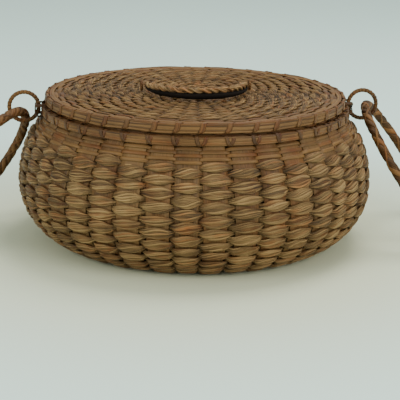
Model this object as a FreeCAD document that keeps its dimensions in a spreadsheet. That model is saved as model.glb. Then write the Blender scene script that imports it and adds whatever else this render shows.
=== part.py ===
"""Round covered sewing basket, in millimetres.

Forty flat splints run out from a hub, turn up through a round belly and end between two rim hoops.
Weavers are laced round them one row at a time. A flat woven lid with its own hoops sits on the rim.
Two wrapped rings are bound to the rim and each carries a stiff hoop handle; a small bail lies on the lid.
+Z is up. The origin is the centre of the underside, and the two ears lie on the X axis.
"""
import FreeCAD, Part
import math
import os
from collections import namedtuple
from FreeCAD import Placement, Rotation, Vector
import Sketcher

SIZES = {
    # body profile, on the middle of the uprights' thickness
    "belly_radius": 110.0,
    "corner_radius": 38.0,
    "neck_inset": 14.6,
    "neck_height": 80.8,
    "hub_radius": 32.0,
    "hub_thickness": 2.2,
    # uprights and the weavers laced through them
    "upright_count": 40,
    "upright_span": 6.3,
    "upright_thickness": 0.8,
    "base_row_pitch": 4.4,
    "base_row_thickness": 0.5,
    "grass_row_pitch": 3.8,
    "grass_row_thickness": 2.4,
    "grass_row_start": 13.0,
    "splint_row_count": 5,
    "splint_row_pitch": 2.05,
    "splint_row_thickness": 0.6,
    "weave_clearance": 0.25,
    "row_clearance": 0.35,
    # rim hoops, one inside and one outside the uprights
    "rim_hoop_height": 5.0,
    "rim_hoop_lift": 0.6,
    "rim_row_drop": 1.1,
    "inner_hoop_thickness": 1.9,
    "outer_hoop_thickness": 1.65,
    "hoop_clearance": 0.15,
    # split-grass straps that lash hoops and ears
    "strap_thickness": 0.3,
    "strap_width": 1.5,
    "strap_clearance": 0.1,
    # lid
    "lid_seat_clearance": 0.3,
    "lid_setback": 2.4,
    "lid_hoop_thickness": 2.0,
    "lid_hoop_height": 5.7,
    "lid_plate_rise": 4.6,
    "lid_hub_radius": 26.0,
    "lid_hub_thickness": 1.8,
    "lid_splint_count": 3,
    "lid_grass_count": 14,
    "lid_grass_thickness": 1.6,
    "spoke_span": 4.5,
    "spoke_thickness": 0.7,
    "mouth_clearance": 1.65,
    "flange_thickness": 1.3,
    "flange_clearance": 0.2,
    "flange_depth": 12.6,
    # bail handle on the lid and the two rings that hold it
    "bail_radius": 30.0,
    "bail_wire_radius": 3.1,
    "bail_tilt": 3.0,
    "pivot_radius": 1.5,
    "pivot_length": 6.5,
    "pivot_clearance": 0.3,
    "eye_wire_radius": 0.9,
    "eye_gap": 0.6,
    # ears on the rim and the hoop handles that hang in them
    "ear_radius": 9.2,
    "ear_wire_radius": 1.35,
    "ear_clearance": 0.2,
    "ear_drop": 0.7,
    "handle_radius": 48.0,
    "handle_wire_radius": 3.4,
    "handle_clearance": 0.25,
    "left_twist": 21.0,
    "right_twist": -12.0,
    "binding_width": 0.8,
}

doc = FreeCAD.newDocument("covered_basket")
sheet = doc.addObject("Spreadsheet::Sheet", "Sheet")
for row, (alias, number) in enumerate(SIZES.items(), start=1):
    sheet.set(f"A{row}", alias)
    sheet.set(f"B{row}", str(number))
    sheet.setAlias(f"B{row}", alias)
doc.recompute()


def size(expression):
    """The value in mm, degrees or pieces of a sheet expression such as 'Sheet.belly_radius'."""
    return float(sheet.evalExpression(expression))


# Heights and radii that several pieces share, each written once as an expression of the sheet.
BASE_LEVEL = "(Sheet.upright_thickness / 2 + Sheet.weave_clearance + Sheet.base_row_thickness)"
BELLY_LEVEL = f"({BASE_LEVEL} + Sheet.corner_radius)"
FOOT_RADIUS = "(Sheet.belly_radius - Sheet.corner_radius)"
NECK_RADIUS = "(Sheet.belly_radius - Sheet.neck_inset)"
HOOP_OFFSET = "(Sheet.upright_thickness / 2 + Sheet.hoop_clearance)"
RIM_INNER = f"({NECK_RADIUS} - {HOOP_OFFSET} - Sheet.inner_hoop_thickness)"
RIM_OUTER = f"({NECK_RADIUS} + {HOOP_OFFSET} + Sheet.outer_hoop_thickness)"
RIM_BOTTOM = "(Sheet.neck_height + Sheet.rim_hoop_lift)"
RIM_TOP = f"({RIM_BOTTOM} + Sheet.rim_hoop_height)"
STRAP_STACK = "(Sheet.strap_thickness + Sheet.strap_clearance)"
BINDING_RISE = "(Sheet.binding_width + 3 * Sheet.strap_clearance)"
LID_BOTTOM = f"({RIM_TOP} + {BINDING_RISE} + {STRAP_STACK} + Sheet.lid_seat_clearance)"
LID_LEVEL = f"({LID_BOTTOM} + Sheet.lid_plate_rise)"
LID_RADIUS = f"({RIM_OUTER} - Sheet.lid_setback)"
LID_HOOP_INNER = f"({LID_RADIUS} - Sheet.lid_hoop_thickness)"
FLANGE_OUTER = f"({RIM_INNER} - Sheet.mouth_clearance)"
FLANGE_INNER = f"({FLANGE_OUTER} - Sheet.flange_thickness)"
LID_FIELD_RADIUS = f"({FLANGE_INNER} - Sheet.flange_clearance)"
GRASS_REACH = "(Sheet.spoke_thickness / 2 + Sheet.weave_clearance + Sheet.lid_grass_thickness)"
EYE_RADIUS = "(Sheet.pivot_radius + Sheet.pivot_clearance + Sheet.eye_wire_radius)"
HINGE_LEVEL = (
    f"({LID_LEVEL} + {GRASS_REACH} + Sheet.strap_clearance + {EYE_RADIUS} + Sheet.eye_wire_radius)"
)
EYE_OFFSET = "(Sheet.bail_radius + Sheet.bail_wire_radius + Sheet.eye_gap + Sheet.eye_wire_radius)"
LID_GRASS_START = (
    f"((2 * Sheet.lid_grass_count * {EYE_OFFSET} - {LID_FIELD_RADIUS}) / (2 * Sheet.lid_grass_count - 1))"
)
EAR_CENTRE = (
    f"({RIM_OUTER} + {STRAP_STACK} + Sheet.ear_clearance + Sheet.ear_wire_radius + Sheet.ear_radius)"
)
EAR_LEVEL = f"({RIM_TOP} - Sheet.ear_drop)"

UP = Vector(0, 0, 1)
ACROSS = Vector(1, 0, 0)
FORWARD = Vector(0, 1, 0)
PITCH = 2 * math.pi / size("Sheet.upright_count")

Station = namedtuple("Station", "radius height slope")
Weave = namedtuple("Weave", "span stake_thickness thickness width")


# ---- the ways a piece is made -------------------------------------------------------------------


def feature(name, shape):
    """A piece whose shape is computed here, because no primitive or sketch gives it."""
    piece = doc.addObject("Part::Feature", name)
    piece.Label = name
    piece.Shape = shape
    piece.Placement = Placement()
    return piece


def flat_ring(name, outer, inner, height, bottom):
    """A hoop or disc: concentric circles padded upward. All sizes are expressions of the sheet."""
    body = doc.addObject("PartDesign::Body", name)
    body.Label = name
    sketch = body.newObject("Sketcher::SketchObject", f"{name}_outline")
    planes = {plane.Role: plane for plane in body.Origin.OriginFeatures}
    sketch.AttachmentSupport = (planes["XY_Plane"], "")
    sketch.MapMode = "FlatFace"
    for radius in filter(None, (outer, inner)):
        circle = sketch.addGeometry(Part.Circle(Vector(0, 0, 0), UP, size(radius)), False)
        sketch.addConstraint(Sketcher.Constraint("Coincident", circle, 3, -1, 1))
        constraint = sketch.addConstraint(Sketcher.Constraint("Radius", circle, size(radius)))
        sketch.setExpression(f"Constraints[{constraint}]", radius)
    pad = body.newObject("PartDesign::Pad", f"{name}_pad")
    pad.Profile = sketch
    pad.setExpression("Length", height)
    body.setExpression("Placement.Base.z", bottom)
    sketch.Visibility = False
    return body


def torus(name, ring_radius, wire_radius, placement):
    """A round wire bent to a ring."""
    ring = doc.addObject("Part::Torus", name)
    ring.Label = name
    ring.setExpression("Radius1", ring_radius)
    ring.setExpression("Radius2", wire_radius)
    ring.Placement = placement
    return ring


def mitred_loop(points, corners):
    """A closed strip along points. Its corner lines run straight between mitres, so its faces are flat.

    corners are the section's corners on the first run, in the middle of it.
    """
    count = len(points)
    runs = [(points[(i + 1) % count] - points[i]).normalize() for i in range(count)]
    mitres = []
    for i in range(1, count + 1):
        arriving = runs[i - 1]
        bisector = arriving + runs[i % count]
        joint = points[i % count]
        corners = [c + arriving * ((joint - c).dot(bisector) / arriving.dot(bisector)) for c in corners]
        mitres.append(corners)
    faces = []
    for near, far in zip(mitres, mitres[1:] + mitres[:1]):
        for a in range(len(near)):
            b = (a + 1) % len(near)
            outline = Part.makePolygon([near[a], near[b], far[b], far[a], near[a]])
            faces.append(Part.Face(outline))
    return Part.Solid(Part.Shell(faces))


def woven_ring(station, weave, phase):
    """One weaver laced in front of and behind alternate stakes, back to where it began."""
    half_span = math.radians(weave.span) / 2
    lift = (weave.stake_thickness + weave.thickness) / 2 + size("Sheet.weave_clearance")
    chord_sag = station.radius * (1 - math.cos(half_span)) * math.cos(station.slope)
    points = []
    for index in range(round(size("Sheet.upright_count"))):
        outward = Vector(math.cos(index * PITCH), math.sin(index * PITCH), 0)
        along = UP.cross(outward)
        normal = outward * math.cos(station.slope) + UP * math.sin(station.slope)
        offset = lift if (index + phase) % 2 == 0 else -lift - chord_sag
        middle = outward * station.radius + UP * station.height + normal * offset
        reach = station.radius + offset * math.cos(station.slope)
        edge = reach * math.tan(half_span)
        turn = edge + (reach * math.tan(PITCH / 2) - edge) / 2
        points += [middle - along * turn, middle + along * turn]
        if index == 0:
            rise = along.cross(normal).normalize()
            half_t = normal * (weave.thickness / 2)
            half_w = rise * (weave.width / 2)
            section = [half_t + half_w, half_w - half_t, -half_t - half_w, half_t - half_w]
            corners = [middle + corner for corner in section]
    return mitred_loop(points, corners)


def revolved_stakes(outline, span):
    """One stake turned through its own angle about the axis, and repeated right round."""
    first = outline.revolve(Vector(0, 0, 0), UP, span)
    stakes = []
    for index in range(round(size("Sheet.upright_count"))):
        stake = first.copy()
        stake.rotate(Vector(0, 0, 0), UP, math.degrees(index * PITCH) - span / 2)
        stakes.append(stake)
    return Part.makeCompound(stakes)


def strap_loop(inner_x, outer_x, bottom, top, width):
    """A flat strap closed round whatever lies between the two radii and the two heights, at y = 0."""
    thick = size("Sheet.strap_thickness")
    opening = Part.makeBox(outer_x - inner_x, width, top - bottom, Vector(inner_x, -width / 2, bottom))
    corner = Vector(inner_x - thick, -width / 2, bottom - thick)
    outside = Part.makeBox(outer_x - inner_x + 2 * thick, width, top - bottom + 2 * thick, corner)
    return outside.cut(opening)


# ---- body profile -------------------------------------------------------------------------------

foot_radius = size(FOOT_RADIUS)
base_level = size(BASE_LEVEL)
belly_level = size(BELLY_LEVEL)
corner_radius = size("Sheet.corner_radius")
neck_inset = size("Sheet.neck_inset")
shoulder_rise = size("Sheet.neck_height") - belly_level
shoulder_angle = 2 * math.atan2(neck_inset, shoulder_rise)
shoulder_radius = shoulder_rise / math.sin(shoulder_angle)
corner_length = corner_radius * math.pi / 2
wall_length = corner_length + shoulder_radius * shoulder_angle


def wall_station(distance):
    """Radius, height and slope of the outward normal, at a distance up the wall from the foot's edge."""
    if distance < 0:
        return Station(foot_radius + distance, base_level, -math.pi / 2)
    if distance < corner_length:
        slope = distance / corner_radius - math.pi / 2
        radius = foot_radius + corner_radius * math.cos(slope)
        return Station(radius, belly_level + corner_radius * math.sin(slope), slope)
    slope = (distance - corner_length) / shoulder_radius
    radius = size("Sheet.belly_radius") - shoulder_radius * (1 - math.cos(slope))
    return Station(radius, belly_level + shoulder_radius * math.sin(slope), slope)


def wall_edge(offset):
    """One face of an upright, from the hub to the rim: a line, two arcs, the crease and a line."""
    start = size("Sheet.hub_radius") + size("Sheet.row_clearance")
    neck = size(NECK_RADIUS) + offset
    low = corner_radius + offset
    high = shoulder_radius + offset
    high_centre = size("Sheet.belly_radius") - shoulder_radius

    def at(centre, radius, slope):
        return Vector(centre + radius * math.cos(slope), 0, belly_level + radius * math.sin(slope))

    foot = Vector(foot_radius, 0, base_level - offset)
    belly = at(foot_radius, low, 0)
    crease = at(high_centre, high, shoulder_angle)
    lip = Vector(neck, 0, crease.z + size("Sheet.upright_thickness") / 2)
    return [
        Part.LineSegment(Vector(start, 0, base_level - offset), foot),
        Part.Arc(foot, at(foot_radius, low, -math.pi / 4), belly),
        Part.Arc(belly, at(high_centre, high, shoulder_angle / 2), crease),
        Part.LineSegment(crease, lip),
        Part.LineSegment(lip, Vector(neck, 0, size(RIM_TOP))),
    ]


# ---- base, uprights and rows --------------------------------------------------------------------


def make_hub():
    """The middle of the base, where the splints cross; the basket stands on it."""
    return flat_ring("base_hub", "Sheet.hub_radius", None, "Sheet.hub_thickness", "0")


def make_uprights():
    """Forty splints, narrower towards the hub, each bent from base to rim in one length."""
    half = size("Sheet.upright_thickness") / 2
    outer = wall_edge(half)
    inner = wall_edge(-half)
    foot_end = Part.LineSegment(inner[0].StartPoint, outer[0].StartPoint)
    rim_end = Part.LineSegment(outer[-1].EndPoint, inner[-1].EndPoint)
    edges = [curve.toShape() for curve in outer + [rim_end] + inner[::-1] + [foot_end]]
    outline = Part.Face(Part.Wire(Part.__sortEdges__(edges)))
    return feature("uprights", revolved_stakes(outline, size("Sheet.upright_span")))


def make_wall_rows(stem, digits, count, start, end, thickness, first_phase):
    """Rows of one kind, side by side up the wall from start to end, in turn over and under."""
    pitch = (end - start) / count
    span = size("Sheet.upright_span")
    width = pitch - size("Sheet.row_clearance")
    weave = Weave(span, size("Sheet.upright_thickness"), thickness, width)
    rows = []
    for index in range(count):
        station = wall_station(start + pitch * (index + 0.5))
        ring = woven_ring(station, weave, first_phase + index)
        rows.append(feature(f"{stem}_{index + 1:0{digits}d}", ring))
    return rows


def make_rows():
    """Thin splints under the base, fat grass bundles up the belly, narrow splints below the rim."""
    splint_count = round(size("Sheet.splint_row_count"))
    base_start = size("Sheet.hub_radius + Sheet.row_clearance") - foot_radius
    grass_start = size("Sheet.grass_row_start")
    splint_end = wall_length - size("Sheet.rim_row_drop")
    splint_start = splint_end - splint_count * size("Sheet.splint_row_pitch")
    base_count = round((grass_start - base_start) / size("Sheet.base_row_pitch"))
    grass_count = round((splint_start - grass_start) / size("Sheet.grass_row_pitch"))
    base = size("Sheet.base_row_thickness")
    grass = size("Sheet.grass_row_thickness")
    splint = size("Sheet.splint_row_thickness")
    rows = make_wall_rows("base_row", 2, base_count, base_start, grass_start, base, 0)
    rows += make_wall_rows("grass_row", 2, grass_count, grass_start, splint_start, grass, base_count)
    phase = base_count + grass_count
    rows += make_wall_rows("splint_row", 1, splint_count, splint_start, splint_end, splint, phase)
    return rows


# ---- rim ----------------------------------------------------------------------------------------


def make_rim():
    """Two hoops that clamp the ends of the uprights."""
    upright_inner = f"{NECK_RADIUS} - {HOOP_OFFSET}"
    upright_outer = f"{NECK_RADIUS} + {HOOP_OFFSET}"
    height = "Sheet.rim_hoop_height"
    return [
        flat_ring("rim_inner_hoop", upright_inner, RIM_INNER, height, RIM_BOTTOM),
        flat_ring("rim_outer_hoop", RIM_OUTER, upright_outer, height, RIM_BOTTOM),
    ]


def lashed_gaps(loop, skipped):
    """Copies of a strap loop in the gaps between stakes, without the gaps in skipped."""
    count = round(size("Sheet.upright_count"))
    copies = []
    for index in range(count):
        if index in skipped:
            continue
        copy = loop.copy()
        copy.rotate(Vector(0, 0, 0), UP, math.degrees((index + 0.5) * PITCH))
        copies.append(copy)
    return Part.makeCompound(copies)


def make_rim_lashing():
    """A strap round both hoops in each gap, but for the gaps beside the ears, which the ears' own take."""
    clear = size("Sheet.strap_clearance")
    inner = size(RIM_INNER) - clear
    outer = size(RIM_OUTER) + clear
    loop = strap_loop(inner, outer, size(RIM_BOTTOM) - clear, size(RIM_TOP) + clear, size("Sheet.strap_width"))
    count = round(size("Sheet.upright_count"))
    beside_ears = {0, count - 1, count // 2 - 1, count // 2}
    return feature("rim_lashing", lashed_gaps(loop, beside_ears))


# ---- lid ----------------------------------------------------------------------------------------


def make_lid_hoops():
    """The lid's edge hoop, and a deeper one inside it that drops into the body's mouth."""
    flange_top = f"({LID_LEVEL} - Sheet.spoke_thickness / 2 - Sheet.weave_clearance)"
    flange_bottom = f"{flange_top} - Sheet.flange_depth"
    hoop_height = "Sheet.lid_hoop_height"
    return [
        flat_ring("lid_outer_hoop", LID_RADIUS, LID_HOOP_INNER, hoop_height, LID_BOTTOM),
        flat_ring("lid_inner_hoop", FLANGE_OUTER, FLANGE_INNER, "Sheet.flange_depth", flange_bottom),
    ]


def make_lid_hub():
    """The close-woven middle of the lid."""
    bottom = f"{LID_LEVEL} - Sheet.lid_hub_thickness / 2"
    return flat_ring("lid_hub", "Sheet.lid_hub_radius", None, "Sheet.lid_hub_thickness", bottom)


def make_lid_spokes():
    """Forty narrow splints out from the lid's hub, their ends turned down behind the edge hoop."""
    thick = size("Sheet.spoke_thickness")
    top = size(LID_LEVEL) + thick / 2
    start = size("Sheet.lid_hub_radius + Sheet.row_clearance")
    end = size(LID_HOOP_INNER) - size("Sheet.strap_clearance")
    tail = size(LID_BOTTOM) + size("Sheet.strap_width")
    corners = [
        Vector(start, 0, top),
        Vector(end, 0, top),
        Vector(end, 0, tail),
        Vector(end - thick, 0, tail),
        Vector(end - thick, 0, top - thick),
        Vector(start, 0, top - thick),
    ]
    outline = Part.Face(Part.makePolygon(corners + corners[:1]))
    return feature("lid_spokes", revolved_stakes(outline, size("Sheet.spoke_span")))


def make_lid_rows(name, count, start, end, thickness, first_phase):
    """Rings of one kind, side by side out across the lid."""
    pitch = (end - start) / count
    width = pitch - size("Sheet.row_clearance")
    weave = Weave(size("Sheet.spoke_span"), size("Sheet.spoke_thickness"), thickness, width)
    rings = []
    for index in range(count):
        station = Station(start + pitch * (index + 0.5), size(LID_LEVEL), math.pi / 2)
        rings.append(woven_ring(station, weave, first_phase + index))
    return feature(name, Part.makeCompound(rings))


def make_lid_field():
    """Thin splints round the hub, then rows of grass from under the bail's rings to the edge hoops."""
    splint_count = round(size("Sheet.lid_splint_count"))
    grass_count = round(size("Sheet.lid_grass_count"))
    start = size("Sheet.lid_hub_radius + Sheet.row_clearance")
    middle = size(LID_GRASS_START)
    edge = size(LID_FIELD_RADIUS)
    splint = size("Sheet.splint_row_thickness")
    grass = size("Sheet.lid_grass_thickness")
    return [
        make_lid_rows("lid_splint_rows", splint_count, start, middle, splint, 1),
        make_lid_rows("lid_grass_rows", grass_count, middle, edge, grass, splint_count + 1),
    ]


def make_lid_lashing():
    """A strap round the edge hoop between each two spokes."""
    clear = size("Sheet.strap_clearance")
    inner = size(LID_HOOP_INNER) - clear
    outer = size(LID_RADIUS) + clear
    bottom = size(LID_BOTTOM) - clear
    top = size(LID_BOTTOM) + size("Sheet.lid_hoop_height") + clear
    loop = strap_loop(inner, outer, bottom, top, size("Sheet.strap_width"))
    return feature("lid_lashing", lashed_gaps(loop, ()))


def make_lid_handle():
    """A half-round bail with a short pin out at each end, lying a little off the lid."""
    arch = torus("bail_arch", "Sheet.bail_radius", "Sheet.bail_wire_radius", Placement())
    arch.Angle3 = 180
    pins = []
    for side, name in ((1, "bail_pin_right"), (-1, "bail_pin_left")):
        pin = doc.addObject("Part::Cylinder", name)
        pin.setExpression("Radius", "Sheet.pivot_radius")
        pin.setExpression("Height", "Sheet.pivot_length")
        base = ACROSS * (side * size("Sheet.bail_radius"))
        pin.Placement = Placement(base, Rotation(UP, ACROSS * side))
        pins.append(pin)
    bail = doc.addObject("Part::MultiFuse", "lid_handle")
    bail.Label = "lid_handle"
    bail.Shapes = [arch, *pins]
    turn = Rotation(ACROSS, 180 - size("Sheet.bail_tilt"))
    bail.Placement = Placement(UP * size(HINGE_LEVEL), turn)
    return bail


def make_lid_handle_loops():
    """A small ring sewn to the lid round each of the bail's pins."""
    eyes = []
    for side, name in ((1, "eye_right"), (-1, "eye_left")):
        centre = Vector(side * size(EYE_OFFSET), 0, size(HINGE_LEVEL))
        place = Placement(centre, Rotation(UP, ACROSS))
        eyes.append(torus(name, EYE_RADIUS, "Sheet.eye_wire_radius", place))
    pair = doc.addObject("Part::Compound", "lid_handle_loops")
    pair.Label = "lid_handle_loops"
    pair.Links = eyes
    return pair


# ---- ears and handles ---------------------------------------------------------------------------


def make_ear_rings():
    """A wrapped ring standing at each end of the X axis, against the rim."""
    rings = []
    for side, name in ((-1, "ear_ring_left"), (1, "ear_ring_right")):
        centre = Vector(side * size(EAR_CENTRE), 0, size(EAR_LEVEL))
        place = Placement(centre, Rotation(UP, FORWARD))
        rings.append(torus(name, "Sheet.ear_radius", "Sheet.ear_wire_radius", place))
    return rings


def make_ear_bindings():
    """Two straps crossed over each ear's ring and round both hoops, through the gaps on either side."""
    clear = size("Sheet.strap_clearance")
    layer = size(STRAP_STACK)
    width = size("Sheet.binding_width")
    gap_y = size(NECK_RADIUS) * math.sin(PITCH / 2)
    middle = size(RIM_BOTTOM) + size("Sheet.rim_hoop_height") / 2
    half_height = size("Sheet.rim_hoop_height") / 2 + clear + width / 2
    slant = math.atan2(half_height, gap_y)
    half_length = math.hypot(gap_y, half_height)
    ring_drop = size(EAR_LEVEL) - middle + width
    ring_x = size(EAR_CENTRE) - math.sqrt(size("Sheet.ear_radius") ** 2 - ring_drop**2)
    inner = math.sqrt(size(RIM_INNER) ** 2 - gap_y**2) - clear
    outer = ring_x + size("Sheet.ear_wire_radius") + clear
    straps = []
    for level, lean in ((0, 1), (1, -1)):
        grow = level * layer
        loop = strap_loop(inner - grow, outer + grow, -half_length - grow, half_length + grow, width)
        loop.rotate(Vector(0, 0, 0), ACROSS, lean * (90 - math.degrees(slant)))
        loop.translate(UP * middle)
        for quarter in (0, 180):
            copy = loop.copy()
            copy.rotate(Vector(0, 0, 0), UP, quarter)
            straps.append(copy)
    return feature("ear_bindings", Part.makeCompound(straps))


def handle_offset():
    """From the ear's centre to the middle of the handle's wire, which bears on the ring's inside."""
    inside = size("Sheet.ear_radius - Sheet.ear_wire_radius")
    return inside - size("Sheet.handle_wire_radius + Sheet.handle_clearance")


def hoop_pose(side, slope, twist):
    """Centre, lengthwise and crosswise directions of a hoop that leans down from its ear by a slope."""
    down = Vector(side * math.cos(slope), 0, -math.sin(slope))
    under = Vector(-side * math.sin(slope), 0, -math.cos(slope))
    across = FORWARD * math.cos(twist) + under * math.sin(twist)
    ear = Vector(side * size(EAR_CENTRE), 0, size(EAR_LEVEL))
    return ear + down * (handle_offset() + size("Sheet.handle_radius")), down, across


def hangs_clear(side, slope, twist):
    """Whether a hoop leaning by that slope stays above the ground plane and off the weaving."""
    hoop = size("Sheet.handle_radius")
    wire = size("Sheet.handle_wire_radius")
    weaving = size("Sheet.upright_thickness / 2 + Sheet.weave_clearance + Sheet.grass_row_thickness")
    room = wire + weaving + size("Sheet.handle_clearance")
    shoulder_centre = size("Sheet.belly_radius") - shoulder_radius
    centre, down, across = hoop_pose(side, slope, twist)
    for step in range(360):
        turn = math.radians(step)
        point = centre + down * (hoop * math.cos(turn)) + across * (hoop * math.sin(turn))
        upper = point.z > belly_level
        middle, bend = (shoulder_centre, shoulder_radius) if upper else (foot_radius, corner_radius)
        wall = math.hypot(math.hypot(point.x, point.y) - middle, point.z - belly_level) - bend
        if point.z < wire or wall < room:
            return False
    return True


def make_handle(name, side, twist_size):
    """A stiff hoop that hangs in its ear as far as the ground plane or the body lets it, turned a little."""
    twist = math.radians(size(twist_size))
    slope, steep = 0.0, math.pi / 2
    for _ in range(30):
        middle = (slope + steep) / 2
        if hangs_clear(side, middle, twist):
            slope = middle
        else:
            steep = middle
    centre, down, across = hoop_pose(side, slope, twist)
    place = Placement(centre, Rotation(down, across, down.cross(across), "XYZ"))
    return torus(name, "Sheet.handle_radius", "Sheet.handle_wire_radius", place)


# ---- assembly -----------------------------------------------------------------------------------

pieces = [
    make_hub(),
    make_uprights(),
    *make_rows(),
    *make_rim(),
    make_rim_lashing(),
    *make_ear_rings(),
    make_ear_bindings(),
    make_handle("handle_left", -1, "Sheet.left_twist"),
    make_handle("handle_right", 1, "Sheet.right_twist"),
    make_lid_hub(),
    make_lid_spokes(),
    *make_lid_field(),
    *make_lid_hoops(),
    make_lid_lashing(),
    make_lid_handle(),
    make_lid_handle_loops(),
]

doc.recompute()

for item in doc.Objects:
    if "Invalid" in item.State or "Error" in item.State:
        raise RuntimeError(f"{item.Label} failed to compute: {item.State}")
for piece in pieces:
    if piece.Shape.isNull() or not piece.Shape.isValid() or piece.Shape.Volume <= 0:
        raise RuntimeError(f"{piece.Label} has no valid solid")

os.makedirs("parts", exist_ok=True)
for piece in pieces:
    piece.Shape.exportStep(os.path.join("parts", f"{piece.Label}.step"))
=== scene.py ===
import math

import bpy
import numpy as np
from mathutils import Matrix, Vector


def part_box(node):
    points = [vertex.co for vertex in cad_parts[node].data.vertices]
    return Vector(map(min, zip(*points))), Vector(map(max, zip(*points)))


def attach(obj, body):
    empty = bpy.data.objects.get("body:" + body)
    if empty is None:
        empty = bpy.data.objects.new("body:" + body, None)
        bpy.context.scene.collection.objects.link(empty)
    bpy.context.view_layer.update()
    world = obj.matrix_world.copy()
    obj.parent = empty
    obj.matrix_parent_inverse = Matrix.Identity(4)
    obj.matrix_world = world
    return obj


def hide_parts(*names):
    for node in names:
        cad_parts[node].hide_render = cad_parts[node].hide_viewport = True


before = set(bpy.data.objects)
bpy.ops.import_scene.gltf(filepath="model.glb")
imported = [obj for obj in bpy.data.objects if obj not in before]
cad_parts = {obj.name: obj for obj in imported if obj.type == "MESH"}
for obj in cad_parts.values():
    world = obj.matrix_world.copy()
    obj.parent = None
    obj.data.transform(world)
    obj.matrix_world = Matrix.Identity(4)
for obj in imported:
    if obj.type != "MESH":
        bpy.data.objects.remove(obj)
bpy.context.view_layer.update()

bpy.ops.object.select_all(action="DESELECT")

# ---- Uprights ------------------------------------------------------------------------------------
# Forty flat splints of brown ash, shaved smooth, each bent in one length from the hub under the base,
# round the belly and up between the rim hoops. Everything else is laced round them or lashed to them.
UP = np.array([0, 0, 1.0])
UPRIGHTS = 40
PITCH = 2 * math.pi / UPRIGHTS
# Each swing in the spacing of the uprights: its size in radians, its waves round the basket, its start.
SPACING_DRIFT = ((0.010, 4, 0.4), (0.008, 6, 1.0), (0.005, 14, 2.0))
SPLINT_THICK = 0.0008
SPLINT_SHARE = 0.78
NECK_EXTRA_SHARE = 0.08
WIDENS_FROM, WIDENS_OVER = 0.04, 0.02
CORNER_RADIUS = 0.038
NECK_INSET = 0.0146
RIM_ABOVE_NECK = 0.0006
HUB_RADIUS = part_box("base_hub")[1].x
HUB_GAP = 0.0003
upright_low, upright_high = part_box("uprights")
BELLY_RADIUS = upright_high.x - SPLINT_THICK / 2
BASE_LEVEL = upright_low.z + SPLINT_THICK / 2
BELLY_LEVEL = BASE_LEVEL + CORNER_RADIUS
FOOT_RADIUS = BELLY_RADIUS - CORNER_RADIUS
RIM_LOW, RIM_HIGH = (corner.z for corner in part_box("rim_outer_hoop"))
NECK_LEVEL = RIM_LOW - RIM_ABOVE_NECK
SHOULDER_ANGLE = 2 * math.atan2(NECK_INSET, NECK_LEVEL - BELLY_LEVEL)
SHOULDER_RADIUS = (NECK_LEVEL - BELLY_LEVEL) / math.sin(SHOULDER_ANGLE)
CORNER_LENGTH = CORNER_RADIUS * math.pi / 2
WALL_LENGTH = CORNER_LENGTH + SHOULDER_RADIUS * SHOULDER_ANGLE


def wall_station(distance):
    """Radius, height and slope of the outward normal at a distance up the wall from the foot's edge."""
    if distance < 0:
        return FOOT_RADIUS + distance, BASE_LEVEL, -math.pi / 2
    if distance < CORNER_LENGTH:
        slope = distance / CORNER_RADIUS - math.pi / 2
        height = BELLY_LEVEL + CORNER_RADIUS * math.sin(slope)
        return FOOT_RADIUS + CORNER_RADIUS * math.cos(slope), height, slope
    if distance > WALL_LENGTH:
        return BELLY_RADIUS - NECK_INSET, NECK_LEVEL + distance - WALL_LENGTH, 0.0
    slope = (distance - CORNER_LENGTH) / SHOULDER_RADIUS
    radius = BELLY_RADIUS - SHOULDER_RADIUS * (1 - math.cos(slope))
    return radius, BELLY_LEVEL + SHOULDER_RADIUS * math.sin(slope), slope


def hand_laid(angle):
    """Where a stake set out at an even angle really stands, since the weaver spaces them by eye."""
    return angle + sum(size * np.sin(waves * angle + start) for size, waves, start in SPACING_DRIFT)


def outward_at(angle):
    """The level direction away from the basket's axis."""
    return np.stack([np.cos(angle), np.sin(angle), 0 * angle], -1)


def leaning(outward, slope):
    """Directions out of a surface and up along it, where it faces outward but is tilted up by slope."""
    return outward * np.cos(slope) + UP * np.sin(slope), UP * np.cos(slope) - outward * np.sin(slope)


def unit(vectors):
    return vectors / np.linalg.norm(vectors, axis=-1, keepdims=True)


def squared(turn, power):
    """How far a section reaches at each angle: a circle at power 2, and nearer a square above it."""
    return (np.abs(np.cos(turn)) ** power + np.abs(np.sin(turn)) ** power) ** (-1 / power)


def course(path, out, closed):
    """Directions along a path and sideways of it."""
    if closed:
        along = unit(np.roll(path, -1, 0) - np.roll(path, 1, 0))
    else:
        along = unit(np.gradient(path, axis=0))
    return along, unit(np.cross(out, along))


def strip_rings(strip):
    """A ring of points round a strip at each point of its path."""
    path, sides = strip["path"], strip["sides"]
    along, side = course(path, strip["out"], strip["closed"])
    top = np.cross(along, side)
    corner = 2 * math.pi * (np.arange(sides) + 0.5) / sides
    reach = squared(corner, strip["square"])
    up = np.outer(strip["thick"] * np.ones(len(path)), reach * np.cos(corner))
    across = np.outer(strip["wide"] * np.ones(len(path)), reach * np.sin(corner))
    return path[:, None] + top[:, None] * up[..., None] + side[:, None] * across[..., None]


TONES_PER_KIND = 7.3


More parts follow.
